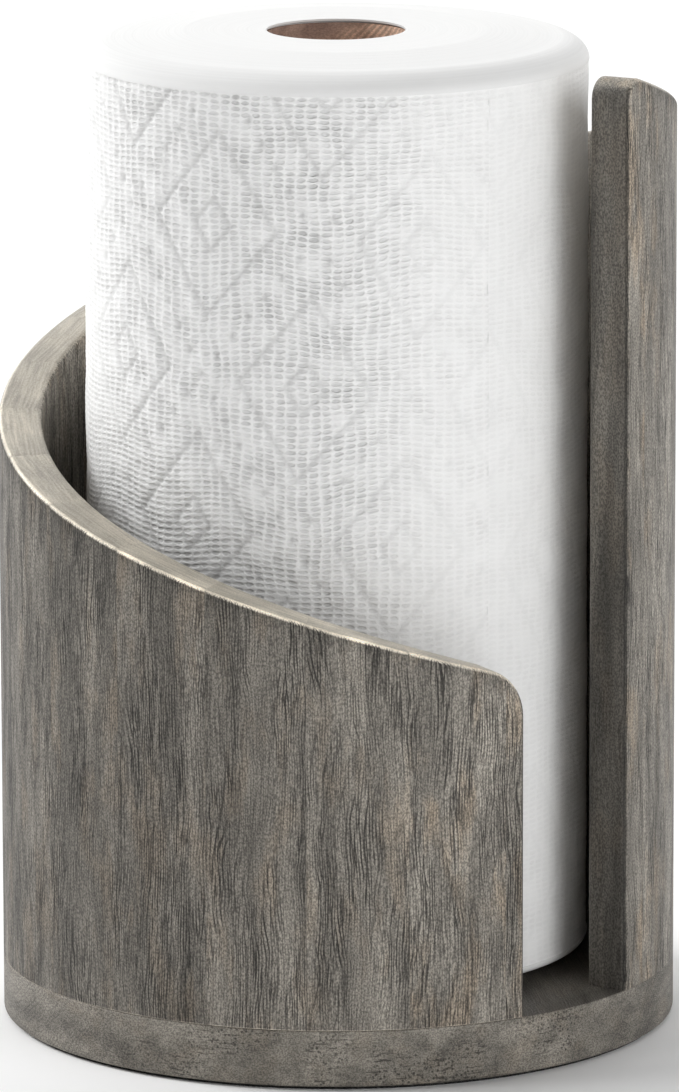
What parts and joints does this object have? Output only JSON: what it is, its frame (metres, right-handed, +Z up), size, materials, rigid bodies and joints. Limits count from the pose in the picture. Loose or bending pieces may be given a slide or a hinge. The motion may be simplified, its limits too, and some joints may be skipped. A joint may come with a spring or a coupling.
{
  "type": "paper towel holder",
  "caption": "Upright wooden paper towel holder: a round base with a tall curved wall whose rim falls in a spiral, a slot for tearing towels, and a paper roll standing inside.",
  "frame": {"origin": "centre of the round underside, on the surface that the holder stands on", "axes": "+Z up along the roll's axis, -Y towards the front, where the low end of the rim is, +X to the right, where the rim's tall end is"},
  "size_m": [0.202, 0.202, 0.2977],
  "materials": {
    "wall_wood": "satin",
    "base_wood": "satin",
    "pad_rubber": "matte",
    "screw_steel": "satin",
    "core_cardboard": "matte",
    "towel_paper": "matte"
  },
  "bodies": {
    "holder": {"tall_end_strip": "wall_wood", "stave_01": "wall_wood", "stave_02": "wall_wood", "stave_03": "wall_wood", "stave_04": "wall_wood", "stave_05": "wall_wood", "stave_06": "wall_wood", "stave_07": "wall_wood", "stave_08": "wall_wood", "stave_09": "wall_wood", "stave_10": "wall_wood", "stave_11": "wall_wood", "stave_12": "wall_wood", "stave_13": "wall_wood", "stave_14": "wall_wood", "stave_15": "wall_wood", "stave_16": "wall_wood", "stave_17": "wall_wood", "stave_18": "wall_wood", "stave_19": "wall_wood", "low_end_strip": "wall_wood", "base_board_left": "base_wood", "base_board_middle": "base_wood", "base_board_right": "base_wood", "wood_screw_1": "screw_steel", "wood_screw_2": "screw_steel", "wood_screw_3": "screw_steel", "wood_screw_4": "screw_steel", "wood_screw_5": "screw_steel", "wood_screw_6": "screw_steel", "wood_screw_7": "screw_steel", "non_slip_pad": "pad_rubber"},
    "core": {"roll_core": "core_cardboard"},
    "paper": {"paper_roll": "towel_paper"}
  },
  "joints": [
    {"name": "roll_lift", "type": "slide", "parent": "holder", "child": "core", "axis": [0, 0, 1], "range_m": [0, 0.3]},
    {"name": "roll_spin", "type": "hinge", "parent": "core", "child": "paper", "pos_m": [0, 0, 0.157], "axis": [0, 0, 1], "continuous": true}
  ]
}
